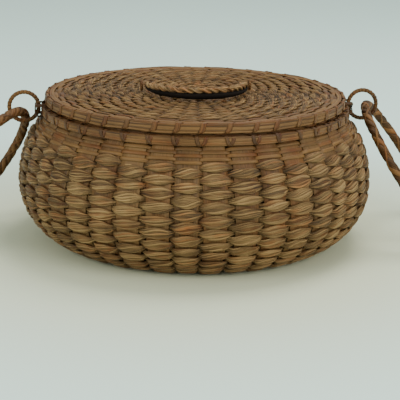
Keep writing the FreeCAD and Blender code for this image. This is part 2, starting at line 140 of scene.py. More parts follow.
def strip_piece(name, strips, material, body, nodes=()):
    """One piece made of strips. A strip is a dict: path and out (points and outward directions), thick and
    wide (half sizes along it), sides, square (2 is an oval section, more is a flatter splint), closed, tone
    (how light it is) and, if it has one, shade (painted shade: how much darker, along the path). The
    material reads the tone less that painted shade, a kind that differs from strip to strip, and a map of how
    far along and round the strip it is."""
    points, faces, along, round_, tones_less_painted_shade, kinds = [], [], [], [], [], []
    for strip in strips:
        path, closed, sides = strip["path"], strip["closed"], strip["sides"]
        count = len(path)
        start = sum(map(len, points))
        points.append(strip_rings(strip).reshape(-1, 3))
        steps = np.linalg.norm(np.roll(path, -1, 0) - path, axis=1)
        length = np.concatenate([[0], np.cumsum(steps)]) + strip["tone"]
        girth = 4 * float(np.mean(strip["wide"]) + np.mean(strip["thick"]))
        rows = count if closed else count - 1
        row, corner = (grid.ravel() for grid in np.meshgrid(range(rows), range(sides), indexing="ij"))
        near, far = start + row * sides, start + (row + 1) % count * sides
        following = (corner + 1) % sides
        faces += np.stack([near + corner, far + corner, far + following, near + following], 1).tolist()
        along.append(np.stack([length[row], length[row + 1], length[row + 1], length[row]], 1).ravel())
        round_.append(np.stack([corner, corner, corner + 1, corner + 1], 1).ravel() * girth / sides)
        if not closed:
            last = start + (count - 1) * sides
            faces += [list(range(start, start + sides)), list(range(last + sides - 1, last - 1, -1))]
            along.append(np.repeat([length[0], length[-2]], sides))
            round_.append(np.zeros(2 * sides))
        # Painted shade is taken off each strip's tone here.
        tones_less_painted_shade.append(np.repeat(strip["tone"] * np.ones(count) - strip.get("shade", 0.0), sides))
        kinds.append(np.full(count * sides, strip["tone"] * TONES_PER_KIND % 1))
    mesh = bpy.data.meshes.new(name)
    mesh.from_pydata(np.concatenate(points).tolist(), [], faces)
    layer = mesh.uv_layers.new(name="fibre")
    layer.data.foreach_set("uv", np.stack([np.concatenate(along), np.concatenate(round_)], 1).ravel())
    for attribute, values in (("tone", tones_less_painted_shade), ("kind", kinds)):
        layer = mesh.attributes.new(attribute, "FLOAT", "POINT")
        layer.data.foreach_set("value", np.concatenate(values).astype(np.float32))
    mesh.polygons.foreach_set("use_smooth", [True] * len(mesh.polygons))
    mesh.materials.append(material)
    mesh.update()
    piece = bpy.data.objects.new(name, mesh)
    bpy.context.scene.collection.objects.link(piece)
    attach(piece, body)
    if nodes:
        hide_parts(*nodes)


def fibre_material(name, deep, middle, light, grain, roughness, relief, ruddy):
    """Dry plant fibre: grain drawn out along the strip, each strip in its own tone, with blotches of age
    and a ruddy tint in patches. grain is the number of fibre streaks per metre, along and across."""
    material = bpy.data.materials.new(name)
    material.use_nodes = True
    nodes, links = material.node_tree.nodes, material.node_tree.links
    shader = nodes["Principled BSDF"]

    def noise(vector, scale, detail, rough=0.5):
        node = nodes.new("ShaderNodeTexNoise")
        node.inputs["Scale"].default_value = scale
        node.inputs["Detail"].default_value = detail
        node.inputs["Roughness"].default_value = rough
        links.new(vector, node.inputs["Vector"])
        return node.outputs["Fac"]

    def strip_value(attribute):
        node = nodes.new("ShaderNodeAttribute")
        node.attribute_name = attribute
        return node.outputs["Fac"]

    def weigh(socket, weight, base):
        node = nodes.new("ShaderNodeMath")
        node.operation = "MULTIPLY_ADD"
        links.new(socket, node.inputs[0])
        node.inputs[1].default_value = weight
        if isinstance(base, float):
            node.inputs[2].default_value = base
        else:
            links.new(base, node.inputs[2])
        return node.outputs[0]

    uv = nodes.new("ShaderNodeUVMap")
    uv.uv_map = "fibre"
    stretch = nodes.new("ShaderNodeMapping")
    stretch.inputs["Scale"].default_value = (*grain, 1)
    links.new(uv.outputs["UV"], stretch.inputs["Vector"])
    place = nodes.new("ShaderNodeTexCoord").outputs["Object"]
    streaks = noise(stretch.outputs["Vector"], 1, 5, 0.65)
    lightness = weigh(streaks, 1.5, -0.66)
    lightness = weigh(noise(place, 55, 4), 0.55, lightness)
    # The tone attribute holds each strip's tone less its painted shade.
    lightness = weigh(strip_value("tone"), 0.5, lightness)
    ramp = nodes.new("ShaderNodeValToRGB")
    ramp.color_ramp.elements[0].position = 0.12
    ramp.color_ramp.elements[0].color = (*deep, 1)
    ramp.color_ramp.elements[1].position = 0.88
    ramp.color_ramp.elements[1].color = (*light, 1)
    ramp.color_ramp.elements.new(0.46).color = (*middle, 1)
    links.new(lightness, ramp.inputs["Fac"])
    reddened = nodes.new("ShaderNodeMapRange")
    reddened.inputs["From Min"].default_value = 0.72
    reddened.inputs["From Max"].default_value = 1.15
    links.new(weigh(strip_value("kind"), 0.45, noise(place, 95, 3)), reddened.inputs["Value"])
    tint = nodes.new("ShaderNodeMix")
    tint.data_type = "RGBA"
    tint.blend_type = "MULTIPLY"
    tint.inputs["B"].default_value = (*ruddy, 1)
    links.new(reddened.outputs["Result"], tint.inputs["Factor"])
    links.new(ramp.outputs["Color"], tint.inputs["A"])
    links.new(tint.outputs["Result"], shader.inputs["Base Color"])
    links.new(weigh(streaks, 0.3, roughness - 0.15), shader.inputs["Roughness"])
    shader.inputs["Specular IOR Level"].default_value = 0.25
    bump = nodes.new("ShaderNodeBump")
    bump.inputs["Strength"].default_value = 0.9
    bump.inputs["Distance"].default_value = relief
    links.new(streaks, bump.inputs["Height"])
    links.new(bump.outputs["Normal"], shader.inputs["Normal"])
    return material


ASH = fibre_material(
    "ash_splint", (0.022, 0.010, 0.004), (0.096, 0.048, 0.017), (0.185, 0.100, 0.036),
    (35, 2600), 0.56, 0.00012, (0.95, 0.62, 0.42),
)
BROWN_ASH = fibre_material(
    "brown_ash_splint", (0.026, 0.011, 0.003), (0.112, 0.052, 0.015), (0.215, 0.111, 0.033),
    (40, 2400), 0.5, 0.00012, (0.95, 0.62, 0.4),
)

under_base = np.linspace(HUB_RADIUS + HUB_GAP - FOOT_RADIUS, -0.002, 8)
up_the_wall = np.linspace(0.001, WALL_LENGTH - 0.0005, 44)
between_hoops = [WALL_LENGTH + 0.0004, WALL_LENGTH + RIM_HIGH - NECK_LEVEL - 0.0001]
bends = np.concatenate([under_base, up_the_wall, between_hoops])
radius, height, slope = np.array([wall_station(distance) for distance in bends]).T
share = SPLINT_SHARE + NECK_EXTRA_SHARE * np.clip((height - WIDENS_FROM) / WIDENS_OVER, 0, 1)
strips = []
random = np.random.default_rng(11)
for index in range(UPRIGHTS):
    outward = outward_at(hand_laid(index * PITCH))
    strips.append({
        "path": outward * radius[:, None] + UP * height[:, None],
        "out": leaning(outward, slope[:, None])[0], "thick": SPLINT_THICK / 2,
        "wide": radius * np.tan(PITCH * share / 2), "sides": 8, "square": 5, "closed": False,
        "tone": random.uniform(0.35, 1.0),
    })
strip_piece("uprights_of_ash", strips, ASH, "basket", ["uprights"])

# ---- Rows of the base and of the neck ------------------------------------------------------------
# Thin weavers of the same ash: broad ones round the underside, and five narrow ones below the rim.
# Each is laced in front of one upright and behind the next, and the row above it the other way.
STEPS = 10
LACE_CLEARANCE = 0.00025


def full_turn(samples):
    """Even angles once round a closed path."""
    return np.arange(samples) * 2 * math.pi / samples


def uneven(random, count, samples, amount):
    """A smooth wandering value round a closed row, from one random number at each of count places."""
    knots = random.uniform(-amount, amount, count)
    position = np.arange(samples) * count / samples
    low = position.astype(int)
    blend = (1 - np.cos(math.pi * (position - low))) / 2
    return knots[low % count] * (1 - blend) + knots[(low + 1) % count] * blend


def lace(station, phase, lift, sharpness, steps, random, wander, stakes=UPRIGHTS, dwell=0.0):
    """A closed path in front of and behind alternate stakes: its points, outward and sideways directions,
    and how far it is to the front, up to 1. A dwell over 0 keeps it in front for longer than behind."""
    radius, height, slope = station
    even = full_turn(stakes * steps)
    outward = outward_at(hand_laid(even))
    out, rise = leaning(outward, slope)
    swing = np.cos(even * stakes / 2) * (1 if phase % 2 == 0 else -1)
    front = np.tanh(sharpness * (swing + dwell)) / math.tanh(sharpness * (1 + dwell))
    path = outward * radius + UP * height + out * (front * lift)[:, None]
    path = path + rise * uneven(random, UPRIGHTS, len(even), wander)[:, None]
    return path, out, rise, front


def splint_row(station, phase, half_thick, half_width, sharpness, random):
    """One flat weaver laced right round."""
    lift = SPLINT_THICK / 2 + LACE_CLEARANCE + half_thick
    path, out = lace(station, phase, lift, sharpness, STEPS, random, half_width * 0.06)[:2]
    return {
        "path": path, "out": out, "thick": half_thick,
        "wide": half_width * (1 + uneven(random, UPRIGHTS, len(path), 0.05)),
        "sides": 8, "square": 5, "closed": True, "tone": random.uniform(0.2, 1.0),
    }


def row_names(stem):
    return sorted(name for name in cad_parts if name.startswith(stem))


BASE_ROWS = row_names("base_row_")
GRASS_ROWS = row_names("grass_row_")
NECK_ROWS = row_names("splint_row_")
BASE_HALF_THICK = 0.00025
NECK_HALF_THICK = 0.0003
GRASS_START = 0.013
NECK_PITCH = 0.00205
NECK_DROP = 0.0011
NECK_START = WALL_LENGTH - NECK_DROP - len(NECK_ROWS) * NECK_PITCH
BASE_START = HUB_RADIUS + 0.00035 - FOOT_RADIUS
base_pitch = (GRASS_START - BASE_START) / len(BASE_ROWS)

for index, node in enumerate(BASE_ROWS):
    random = np.random.default_rng(100 + index)
    station = wall_station(BASE_START + base_pitch * (index + 0.5))
    row = splint_row(station, index, BASE_HALF_THICK, base_pitch * 0.5, 3.0, random)
    strip_piece(f"underside_row_{index + 1:02d}", [row], ASH, "basket", [node])

for index, node in enumerate(NECK_ROWS):
    random = np.random.default_rng(200 + index)
    station = wall_station(NECK_START + NECK_PITCH * (index + 0.5))
    phase = len(BASE_ROWS) + len(GRASS_ROWS) + index
    row = splint_row(station, phase, NECK_HALF_THICK, NECK_PITCH * 0.56, 5.0, random)
    strip_piece(f"neck_row_{index + 1}", [row], BROWN_ASH, "basket", [node])

# ---- Grass rows of the body ----------------------------------------------------------------------
# Fat bundles of dry sweetgrass, lightly twisted as they are laid. A bundle spreads into a lens where it
# lies over an upright and is pinched where it passes between two of them.
GRASS = fibre_material(
    "sweetgrass", (0.014, 0.007, 0.002), (0.124, 0.068, 0.024), (0.345, 0.212, 0.086),
    (70, 5200), 0.6, 0.00022, (0.92, 0.56, 0.38),
)
GRASS_DEPTH = 0.00122
GRASS_PINCH, GRASS_SPREAD = 0.0019, 0.0036
GRASS_STRANDS = 13
grass_pitch = (NECK_START - GRASS_START) / len(GRASS_ROWS)


def grass_row(station, phase, stake, depth, pinch, spread, strands, turns, fade, random, steps=STEPS,
              sharpness=3.0, **lacing):
    """The strands of one twisted bundle and its solid middle. depth is its half thickness, pinch and
    spread its half heights, and fade the painted shade: how much darker it is where it dives between two
    stakes. The solid middle is also painted 0.2 darker all along, as shade behind the strands."""
    lift = stake / 2 + LACE_CLEARANCE + depth
    path, out, rise, front = lace(station, phase, lift, sharpness, steps, random, pinch * 0.2, **lacing)
    samples = len(path)
    lens = np.abs(np.arctanh(front * math.tanh(sharpness)) / sharpness)
    height = (pinch + (spread - pinch) * lens) * (1 + uneven(random, UPRIGHTS, samples, 0.16))
    start = random.uniform(0, 2 * math.pi)
    # Painted shade on the solid middle: 0.2 darker all along, darker still where it dives between stakes.
    strips = [{
        "path": path + rise * uneven(random, UPRIGHTS, samples, pinch * 0.1)[:, None], "out": out,
        "thick": depth * 0.6, "wide": height * 0.97, "sides": 6, "square": 2.6, "closed": True,
        "tone": random.uniform(0.2, 0.6), "shade": 0.2 + fade * (1 - lens),
    }]
    for strand in range(strands):
        turn = start + 2 * math.pi * strand / strands + turns * full_turn(samples)
        turn = turn + uneven(random, UPRIGHTS, samples, 0.6)
        half_thick = depth * random.uniform(0.25, 0.4)
        half_wide = half_thick * random.uniform(1.1, 1.7)
        outwards = (depth - half_thick) * np.cos(turn)
        across = (height - half_wide) * np.sin(turn)
        # Painted shade on each strand where it dives between two stakes.
        strips.append({
            "path": path + out * outwards[:, None] + rise * across[:, None], "out": out,
            "thick": half_thick * (0.85 + 0.25 * lens), "wide": half_wide * (0.8 + 0.35 * lens),
            "sides": 4, "square": 2.3, "closed": True, "tone": random.uniform(0.18, 0.86),
            "shade": fade * (1 - lens),
        })
    return strips


for index, node in enumerate(GRASS_ROWS):
    random = np.random.default_rng(300 + index)
    station = wall_station(GRASS_START + grass_pitch * (index + 0.5))
    turns = 9 + int(random.integers(-4, 5))
    # 0.35 is the painted shade where each bundle dives between two uprights.
    strips = grass_row(
        station, len(BASE_ROWS) + index, SPLINT_THICK, GRASS_DEPTH, GRASS_PINCH, GRASS_SPREAD,
        GRASS_STRANDS, turns, 0.35, random,
    )
    strip_piece(f"sweetgrass_row_{index + 1:02d}", strips, GRASS, "basket", [node])

LOOSE_TIPS = 90
TIP_HALF_THICK, TIP_HALF_WIDE = 0.00013, 0.0003
TIP_ROOT = 0.0016
random = np.random.default_rng(330)
strips = []
for tip in range(LOOSE_TIPS):
    up_the_grass = random.uniform(0.05, 0.97)
    radius, height, slope = wall_station(GRASS_START + grass_pitch * len(GRASS_ROWS) * up_the_grass)
    angle = random.uniform(0, 2 * math.pi)
    length = random.uniform(0.005, 0.011) * random.choice([-1, 1])
    climb = length * random.uniform(-0.5, 0.5)
    reach = np.linspace(0, 1, 9)
    outward = outward_at(angle + length / radius * reach)
    out, rise = leaning(outward, slope)
    lift = TIP_ROOT + random.uniform(0.0012, 0.0022) * reach**1.5
    path = outward * radius + UP * height + out * lift[:, None] + rise * (climb * reach**1.3)[:, None]
    taper = 1.1 - reach
    strips.append({
        "path": path, "out": out, "thick": TIP_HALF_THICK * taper, "wide": TIP_HALF_WIDE * taper,
        "sides": 4, "square": 2, "closed": False, "tone": random.uniform(0.5, 1.0),
    })
strip_piece("loose_grass_tips", strips, GRASS, "basket")

# ---- Hub of the base -----------------------------------------------------------------------------
# The middle of the base, where twenty splints cross. Fine weavers pack them down, ring by ring.
CROSSING_SPACING = 0.0005
CROSSING_HALF_THICK = 0.00024
CROSSING_WAIST = 0.0011
PACKED_INNER = 0.006
PACKED_PITCH = 0.0026
PACKED_LIFT = 0.0008
PACKED_HALF_THICK = 0.00025


def crossing_splints(radius, level, random):
    """Splints laid across each other through the middle, in two stacked layers, waisted at the crossing."""
    strips = []
    for index in range(UPRIGHTS // 2):
        outward = outward_at(hand_laid(index * PITCH))
        reach = np.linspace(-radius, radius, 25)
        layer = level + CROSSING_SPACING * (0.5 if index % 2 else -0.5)
        strips.append({
            "path": outward * reach[:, None] + UP * layer, "out": np.tile(UP, (len(reach), 1)),
            "thick": CROSSING_HALF_THICK,
            "wide": np.maximum(np.abs(reach) * math.tan(PITCH * 0.36), CROSSING_WAIST),
            "sides": 6, "square": 5, "closed": False, "tone": random.uniform(0.2, 0.9),
        })
    return strips


def packed_rings(inner, outer, level, random):
    """Fine weavers round the underside of the crossing, each a flat strip rippling over and under."""
    strips = []
    count = round((outer - inner) / PACKED_PITCH)
    for ring in range(count):
        station = (inner + (outer - inner) * (ring + 0.5) / count, level, -math.pi / 2)
        path, out = lace(station, ring, PACKED_LIFT, 2.0, 6, random, PACKED_PITCH * 0.05)[:2]
        strips.append({
            "path": path, "out": out, "thick": PACKED_HALF_THICK, "wide": PACKED_PITCH * 0.45,
            "sides": 6, "square": 4, "closed": True, "tone": random.uniform(0.1, 0.9),
        })
    return strips


random = np.random.default_rng(21)
hub_low, hub_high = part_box("base_hub")
hub_level = (hub_low.z + hub_high.z) / 2
strips = crossing_splints(HUB_RADIUS, hub_level, random)
strips += packed_rings(PACKED_INNER, HUB_RADIUS, hub_level, random)
strip_piece("hub_of_base", strips, ASH, "basket", ["base_hub"])

# ---- Rim of the body -----------------------------------------------------------------------------
# A hoop inside and a hoop outside clamp the ends of the uprights. A narrow splint is wound round both
# from left to right and another back again, so that they cross in each gap.
HOOP = fibre_material(
    "ash_hoop", (0.024, 0.010, 0.003), (0.094, 0.042, 0.013), (0.195, 0.097, 0.032),
    (22, 1900), 0.5, 0.00014, (0.95, 0.62, 0.42),
)
LASHING = fibre_material(
    "lashing_splint", (0.014, 0.005, 0.002), (0.060, 0.025, 0.008), (0.150, 0.070, 0.023),
    (60, 2600), 0.5, 0.00012, (0.95, 0.6, 0.4),
)
OUTSIDE_THICK, INSIDE_THICK = 0.0016, 0.0018
RIM_LASHING_HALF_WIDTH = 0.0011
STRAP_HALF_THICK = 0.00016
STRAP_LAYER = 0.0002
FACING_STRANDS = 5
FACING_HALF_THICK = 0.00042
FACING_SUNK = 0.0003


def ring_sizes(node):
    """Outer radius, bottom and top of a hoop of the CAD model."""
    low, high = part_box(node)
    return high.x, low.z, high.z


def hoop(name, outside, low, high, inset, thick, node, seed, body):
    """A flat hoop with its middle inset from the outside, faced with strands of splint laid along it."""
    random = np.random.default_rng(seed)
    samples = 240
    outward = outward_at(full_turn(samples))
    radius = outside - inset
    tall = high - low
    path = outward * radius + UP * (low + high) / 2
    path[:, 2] += uneven(random, 18, samples, 0.00012)
    strips = [{
        "path": path, "out": outward, "thick": thick / 2,
        "wide": tall / 2 * (1 + uneven(random, 24, samples, 0.03)),
        "sides": 12, "square": 5, "closed": True, "tone": random.uniform(0.4, 0.9),
    }]
    for strand in range(FACING_STRANDS):
        level = low + tall * (strand + 0.5) / FACING_STRANDS
        level = level + uneven(random, 30, samples, tall * 0.07)
        face = radius + thick / 2 - FACING_SUNK + uneven(random, 40, samples, 0.0001)
        strips.append({
            "path": outward * face[:, None] + UP * level[:, None], "out": outward,
            "thick": FACING_HALF_THICK, "wide": tall * 0.12 * (1 + uneven(random, 30, samples, 0.15)),
            "sides": 6, "square": 2.3, "closed": True, "tone": random.uniform(0.0, 1.0),
        })
    strip_piece(name, strips, HOOP, body, [node])


def faced_out(turn, outward, upward, power):
    """Directions out of a strap wound round a flat-sided section, at an angle round that section."""
    over = np.sign(np.cos(turn)) * np.abs(np.cos(turn)) ** power
    above = np.sign(np.sin(turn)) * np.abs(np.sin(turn)) ** power
    return unit(outward * over[:, None] + upward * above[:, None])


def wound_strap(radius, level, half_deep, half_high, lean, half_width, random):
    """A strap wound round a hoop's section once in each gap. It runs steeply across the outside and the
    top, and makes most of its way round the hoop low on the inside. lean is 1 or -1, for its direction."""
    steps = 20
    samples = UPRIGHTS * steps
    turn = np.arange(samples) * 2 * math.pi / steps
    reach = squared(turn, 5)
    deep = radius + half_deep * reach * np.cos(turn)
    high = level + half_high * reach * np.sin(turn)
    gaps = turn / (2 * math.pi) - 0.14 * np.sin(turn - math.pi / 4) + uneven(random, UPRIGHTS, samples, 0.1)
    outward = outward_at(hand_laid(PITCH / 2 + lean * PITCH * gaps))
    return {
        "path": outward * deep[:, None] + UP * high[:, None], "out": faced_out(turn, outward, UP, 2),
        "thick": STRAP_HALF_THICK, "wide": half_width,
        "sides": 6, "square": 4, "closed": True, "tone": random.uniform(0.2, 0.7),
    }


def lashing(name, inner, outer, low, high, half_width, leans, material, node, seed, body):
    """A strap for each lean, wound round all that lies between two radii and two heights."""
    random = np.random.default_rng(seed)
    strips = []
    for layer, lean in enumerate(leans, start=1):
        deep = (outer - inner) / 2 + STRAP_LAYER * layer
        tall = (high - low) / 2 + STRAP_LAYER * layer
        middle, level = (inner + outer) / 2, (low + high) / 2
        strips.append(wound_strap(middle, level, deep, tall, lean, half_width, random))
    strip_piece(name, strips, material, body, [node])


RIM_RADIUS = ring_sizes("rim_outer_hoop")[0]
INSIDE_RADIUS = ring_sizes("rim_inner_hoop")[0]
RIM_INNER = INSIDE_RADIUS - 0.0019
hoop(
    "rim_hoop_outside", RIM_RADIUS, RIM_LOW, RIM_HIGH, 0.0008, OUTSIDE_THICK, "rim_outer_hoop", 31, "basket",
)
hoop(
    "rim_hoop_inside", INSIDE_RADIUS, RIM_LOW, RIM_HIGH, 0.00095, INSIDE_THICK, "rim_inner_hoop", 32,
    "basket",
)
lashing(
    "rim_crossed_lashing", RIM_INNER, RIM_RADIUS, RIM_LOW, RIM_HIGH, RIM_LASHING_HALF_WIDTH, (1, -1),
    LASHING, "rim_lashing", 33, "basket",
)

# ---- Lid -----------------------------------------------------------------------------------------
# A flat disc of grass rows on forty narrow splints. Three narrow splint rows finish it inside an edge
# hoop, and a deeper hoop below locates it in the mouth. It lies on the rim and lifts straight off.
LID_RADIUS, LID_LOW, LID_HIGH = ring_sizes("lid_outer_hoop")
FLANGE_RADIUS, FLANGE_LOW, FLANGE_HIGH = ring_sizes("lid_inner_hoop")
LID_HOOP_THICK, FLANGE_THICK = 0.0019, 0.0012
LID_LASHING_HALF_WIDTH = 0.0016
LID_HUB_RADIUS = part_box("lid_hub")[1].x
LID_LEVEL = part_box("lid_spokes")[1].z - 0.00035
FIELD_RADIUS = 0.0898
FACING_UP = math.pi / 2
SPOKE_THICK = 0.0005
SPOKE_SHARE = 0.74
SPOKE_POINTS = 14
SPOKE_BEND = LID_RADIUS - 0.0025
SPOKE_END = LID_LOW + 0.0016

hoop(
    "lid_hoop_outside", LID_RADIUS, LID_LOW, LID_HIGH, 0.001, LID_HOOP_THICK, "lid_outer_hoop", 41, "lid",
)
hoop(
    "lid_hoop_inside", FLANGE_RADIUS, FLANGE_LOW, FLANGE_HIGH, 0.0006, FLANGE_THICK, "lid_inner_hoop", 42,
    "lid",
)
lashing(
    "lid_crossed_lashing", LID_RADIUS - 0.002, LID_RADIUS, LID_LOW, LID_HIGH, LID_LASHING_HALF_WIDTH, (1,),
    HOOP, "lid_lashing", 43, "lid",
)

random = np.random.default_rng(44)
strips = []
flat = np.linspace(LID_HUB_RADIUS, LID_RADIUS - 0.0032, SPOKE_POINTS)
radius = np.concatenate([flat, [SPOKE_BEND, SPOKE_BEND]])
height = np.concatenate([np.full(SPOKE_POINTS, LID_LEVEL), [LID_LEVEL - 0.0007, SPOKE_END]])
slope = np.concatenate([np.full(SPOKE_POINTS, FACING_UP), [0.5, 0.0]])
for index in range(UPRIGHTS):
    outward = outward_at(hand_laid(index * PITCH))
    strips.append({
        "path": outward * radius[:, None] + UP * height[:, None],
        "out": leaning(outward, slope[:, None])[0], "thick": SPOKE_THICK / 2,
        "wide": radius * math.tan(PITCH * SPOKE_SHARE / 2),
        "sides": 8, "square": 5, "closed": False, "tone": random.uniform(0.3, 0.9),
    })
strip_piece("lid_spokes_of_ash", strips, ASH, "lid", ["lid_spokes"])

random = np.random.default_rng(45)
strips = crossing_splints(LID_HUB_RADIUS, LID_LEVEL, random)
strip_piece("lid_crossing", strips, ASH, "lid", ["lid_hub"])

EDGE_ROWS = 3
EDGE_PITCH = 0.0021
EDGE_HALF_THICK = 0.0003
FILLER_HALF_THICK, FILLER_HALF_WIDE = 0.00035, 0.00078
LID_ROWS = 22
LID_STRANDS = 7
LID_GRASS_DEPTH = 0.0008
LID_MIDDLE = 0.0018
TURNS_PER_METRE = 290
FEW_STAKES_WITHIN, HALF_STAKES_WITHIN = 0.012, 0.026
edge_start = FIELD_RADIUS - EDGE_ROWS * EDGE_PITCH
lid_pitch = (edge_start - LID_MIDDLE) / LID_ROWS
for index in range(LID_ROWS):
    random = np.random.default_rng(400 + index)
    radius = LID_MIDDLE + lid_pitch * (index + 0.5)
    turns = max(2, round(radius * TURNS_PER_METRE) + int(random.integers(-1, 2)))
    stakes = 10 if radius < FEW_STAKES_WITHIN else 20 if radius < HALF_STAKES_WITHIN else UPRIGHTS
    # 0.45 is the painted shade where each bundle dives between two spokes.
    strips = grass_row(
        (radius, LID_LEVEL, FACING_UP), index, 0.0, LID_GRASS_DEPTH, lid_pitch * 0.53, lid_pitch * 0.62,
        LID_STRANDS, turns, 0.45, random, 8 if radius < 0.05 else STEPS,
        sharpness=1.1, stakes=stakes, dwell=0.3,
    )
    nodes = ["lid_grass_rows"] if index == LID_ROWS - 1 else []
    strip_piece(f"lid_sweetgrass_row_{index + 1:02d}", strips, GRASS, "lid", nodes)

random = np.random.default_rng(46)
strips = []
for index in range(EDGE_ROWS):
    station = (edge_start + EDGE_PITCH * (index + 0.5), LID_LEVEL, FACING_UP)
    strips.append(splint_row(station, index + LID_ROWS, EDGE_HALF_THICK, EDGE_PITCH * 0.62, 2.0, random))
samples = UPRIGHTS * STEPS
for beyond in (0.0008, 0.0022):
    reach = FIELD_RADIUS + beyond + uneven(random, 30, samples, 0.0001)
    path = outward_at(full_turn(samples)) * reach[:, None] + UP * (LID_LEVEL + 0.0008)
    path[:, 2] += uneven(random, 40, samples, 0.00015)
    strips.append({
        "path": path, "out": np.tile(UP, (samples, 1)), "thick": FILLER_HALF_THICK, "wide": FILLER_HALF_WIDE,
        "sides": 8, "square": 3, "closed": True, "tone": random.uniform(0.3, 0.9),
    })
strip_piece("lid_edge_rows", strips, BROWN_ASH, "lid", ["lid_splint_rows"])

# ---- Handle of the lid ---------------------------------------------------------------------------
# A braided grip bent to a half ring, lying a little off the lid. Its two ends are sewn round small
# loops that stand up out of the weaving. Under its front lies a near-black strip, painted shadow for the
# shade in the gap below the grip, and near-black rings go round the grip near its ends.
WRAP = fibre_material(
    "dark_grass_wrap", (0.009, 0.003, 0.001), (0.054, 0.022, 0.006), (0.215, 0.100, 0.028),
    (55, 3600), 0.6, 0.0002, (0.9, 0.5, 0.35),
)
# Near-black: painted shadow under the grip's front, and also the rings round the grip near its ends.
DARK = fibre_material(
    "painted_shadow_and_knot_black", (0.002, 0.0015, 0.001), (0.006, 0.004, 0.003), (0.016, 0.010, 0.006),
    (55, 3600), 0.9, 0.0002, (0.9, 0.7, 0.6),
)
DARK.node_tree.nodes["Principled BSDF"].inputs["Specular IOR Level"].default_value = 0.1
loops_low, loops_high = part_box("lid_handle_loops")
HINGE_LEVEL = (loops_low.z + loops_high.z) / 2
EYE_OFFSET = loops_high.x - 0.0009
EYE_RADIUS = 0.0027
GRIP_RADIUS = 0.03
GRIP_BULGE = 1.14
GRIP_TILT = math.radians(3)
BRAID_TURNS = 6
KNOTS = (0.035, 0.06, 0.085, 0.915, 0.94, 0.965)
KNOT_RADIUS = 0.0023


def strand_about(path, out, offset_out, offset_side, half_thick, half_wide, closed, tone, sides=8):
    """A strand beside a path: moved outward and sideways of it by the two offsets."""
    side = course(path, out, closed)[1]
    moved = path + out * np.asarray(offset_out)[:, None] + side * np.asarray(offset_side)[:, None]
    return {
        "path": moved, "out": out, "thick": half_thick, "wide": half_wide,
        "sides": sides, "square": 2.3, "closed": closed, "tone": tone,
    }


def circle_path(centre, first, second, radius, samples):
    """Points round a circle in the plane of two directions, with the directions out from its centre."""
    angle = full_turn(samples)
    outward = np.outer(np.cos(angle), first) + np.outer(np.sin(angle), second)
    return np.asarray(centre) + outward * radius, outward, angle


random = np.random.default_rng(51)
samples = 180
angle = np.linspace(math.pi, 2 * math.pi, samples)
forward = np.array([0, math.cos(GRIP_TILT), -math.sin(GRIP_TILT)])
grip_up = np.array([0, math.sin(GRIP_TILT), math.cos(GRIP_TILT)])
path = np.outer(np.cos(angle), [1.0, 0, 0]) + np.outer(GRIP_BULGE * np.sin(angle), forward)
path = path * GRIP_RADIUS + UP * HINGE_LEVEL
out = np.tile(grip_up, (samples, 1))
from_end = np.minimum(np.arange(samples), samples - 1 - np.arange(samples))
ends = np.minimum(1.0, from_end / 14 + 0.45)
strips = []
for strand in range(12):
    phase = np.linspace(0, BRAID_TURNS * 2 * math.pi, samples) + strand % 3 * 2 * math.pi / 3
    phase = phase + uneven(random, 12, samples, 0.5)
    turn = strand // 3 * math.pi / 2 + 0.8 * phase
    sideways = (0.0017 * np.sin(phase) + 0.0008 * np.cos(turn)) * ends
    outwards = (0.0011 + 0.0007 * np.sin(2 * phase) + 0.0006 * np.sin(turn)) * ends
    tone = random.uniform(0.0, 1.0)
    strips.append(strand_about(path, out, outwards, sideways, 0.00062 * ends, 0.00085 * ends, False, tone, 6))
strip_piece("lid_braided_handle", strips, GRASS, "lid_handle", ["lid_handle"])

# The near-black strip under the grip's front is painted shadow, standing for the shade in the gap below.
bulge = 0.25 + 0.75 * np.sqrt(np.sin(angle - math.pi))
deep = 0.0003 + 0.0016 * bulge**2
strips = [strand_about(path, out, -0.0002 - deep, -0.0018 * bulge, deep, 0.0030 * bulge, False, 0.2)]
for end in KNOTS:
    point = int(end * samples)
    along = unit(path[point + 1] - path[point - 1])
    ring, outward, angle = circle_path(path[point], np.cross(grip_up, along), grip_up, KNOT_RADIUS, 24)
    strips.append(strand_about(ring, outward, 0 * angle, 0 * angle, 0.0004, 0.0007, True, 0.4))
strip_piece("lid_handle_painted_shadow_and_knots", strips, DARK, "lid_handle")

strips = []
for side in (-1, 1):
    path, outward, angle = circle_path((side * EYE_OFFSET, 0, HINGE_LEVEL), [0, 1.0, 0], UP, EYE_RADIUS, 40)
    for strand in range(2):
        turn = 6 * angle + strand * math.pi
        strips.append(strand_about(path, outward, 0.0003 * np.cos(turn), 0.0003 * np.sin(turn),
                                   0.00055, 0.0006, True, 0.5))
strip_piece("lid_handle_eyes", strips, WRAP, "lid", ["lid_handle_loops"])

# ---- Ears ----------------------------------------------------------------------------------------
# A ring at each side, of a stiff core wrapped closely with dark grass, and bound to the rim by a strap
# crossed over it several times.
EAR_WIRE = 0.00135
EAR_WRAPS = 26
BINDINGS = 6
BINDING_INNER, BINDING_OUTER = 0.0923, 0.1014
BINDING_REACH = 0.0081
BINDING_HALF_WIDTH = 0.0006
BINDING_LAYER = 0.00012


